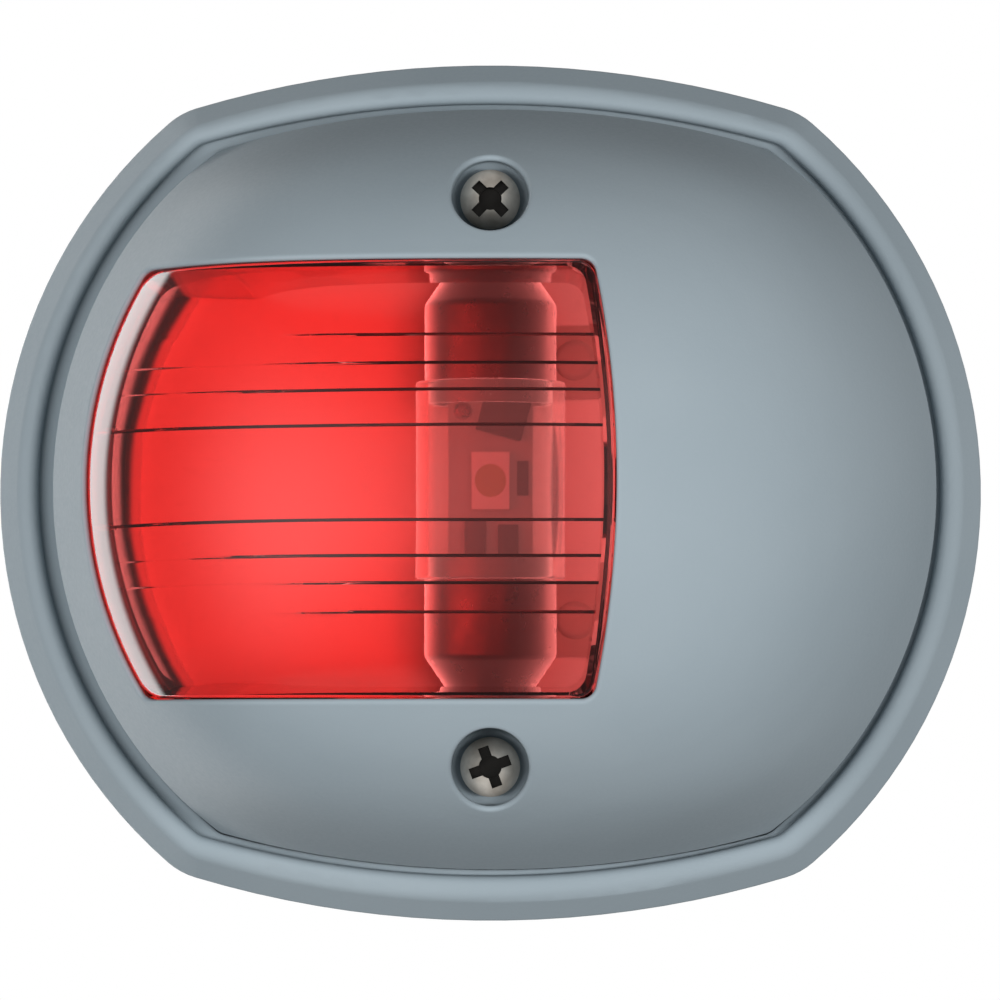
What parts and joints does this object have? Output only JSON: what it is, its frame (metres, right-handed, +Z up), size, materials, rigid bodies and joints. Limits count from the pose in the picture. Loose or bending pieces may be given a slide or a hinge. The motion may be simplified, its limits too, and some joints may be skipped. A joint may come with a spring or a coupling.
{
  "type": "navigation light",
  "caption": "Side-mounted marine navigation light: domed grey cover with a red lens on a barrel-shaped base, a festoon LED bulb inside and two cross-head cover screws.",
  "frame": {"origin": "centre of the wall face, in the middle of the four wall-screw holes", "axes": "+X to the right and +Z up as seen from in front, -Y out of the wall"},
  "size_m": [0.08, 0.0417, 0.0698],
  "materials": {
    "grey_housing": "satin",
    "red_lens": "clear red, polished",
    "white_reflector": "satin",
    "foam": "matt",
    "rubber": "matt",
    "screw_steel": "darkened, satin",
    "contact_brass": "satin",
    "cap_nickel": "satin",
    "clear_tube": "clear",
    "board": "satin",
    "led_white": "gloss",
    "phosphor": "gloss",
    "black_epoxy": "matt",
    "solder": "satin"
  },
  "bodies": {
    "base": {"base_housing": "grey_housing", "back_gasket": "foam", "cable_grommet": "rubber", "reflector_plate": "white_reflector", "top_contact": "contact_brass", "bottom_contact": "contact_brass", "top_terminal": "contact_brass", "bottom_terminal": "contact_brass", "top_rivet": "cap_nickel", "bottom_rivet": "cap_nickel", "cover_seal": "rubber"},
    "cover": {"cover_shell": "grey_housing", "lens": "red_lens"},
    "top_screw_travel": {"top_screw_seal": "rubber"},
    "top_screw_turning": {"top_screw": "screw_steel"},
    "bottom_screw_travel": {"bottom_screw_seal": "rubber"},
    "bottom_screw_turning": {"bottom_screw": "screw_steel"},
    "bulb_ends": {"bulb_top_cap": "cap_nickel", "bulb_bottom_cap": "cap_nickel"},
    "bulb_body": {"bulb_tube": "clear_tube", "led_board": "board", "led_package": "led_white", "led_phosphor": "phosphor", "bridge_rectifier": "black_epoxy", "driver_chips": "black_epoxy", "resistor": "black_epoxy", "solder_joints": "solder"}
  },
  "joints": [
    {"name": "cover_lift", "type": "slide", "parent": "base", "child": "cover", "axis": [0, -1, 0], "range_m": [0, 0.045]},
    {"name": "top_screw_out", "type": "slide", "parent": "cover", "child": "top_screw_travel", "axis": [0, -1, 0], "range_m": [0, 0.00784]},
    {"name": "top_screw_turn", "type": "hinge", "parent": "top_screw_travel", "child": "top_screw_turning", "pos_m": [0, -0.0246, 0.0223], "axis": [0, -1, 0], "range_deg": [0, 2530]},
    {"name": "bottom_screw_out", "type": "slide", "parent": "cover", "child": "bottom_screw_travel", "axis": [0, -1, 0], "range_m": [0, 0.00784]},
    {"name": "bottom_screw_turn", "type": "hinge", "parent": "bottom_screw_travel", "child": "bottom_screw_turning", "pos_m": [0, -0.0246, -0.0223], "axis": [0, -1, 0], "range_deg": [0, 2530]},
    {"name": "bulb_out", "type": "slide", "parent": "base", "child": "bulb_ends", "axis": [0, -1, 0], "range_m": [0, 0.004]},
    {"name": "bulb_turn", "type": "hinge", "parent": "bulb_ends", "child": "bulb_body", "pos_m": [0, -0.0115, 0.00065], "axis": [0, 0, 1], "continuous": true}
  ],
  "couplings": [
    {"joint": "top_screw_turn", "follows": "top_screw_out", "rad_per_m": 5610},
    {"joint": "bottom_screw_turn", "follows": "bottom_screw_out", "rad_per_m": 5610}
  ]
}
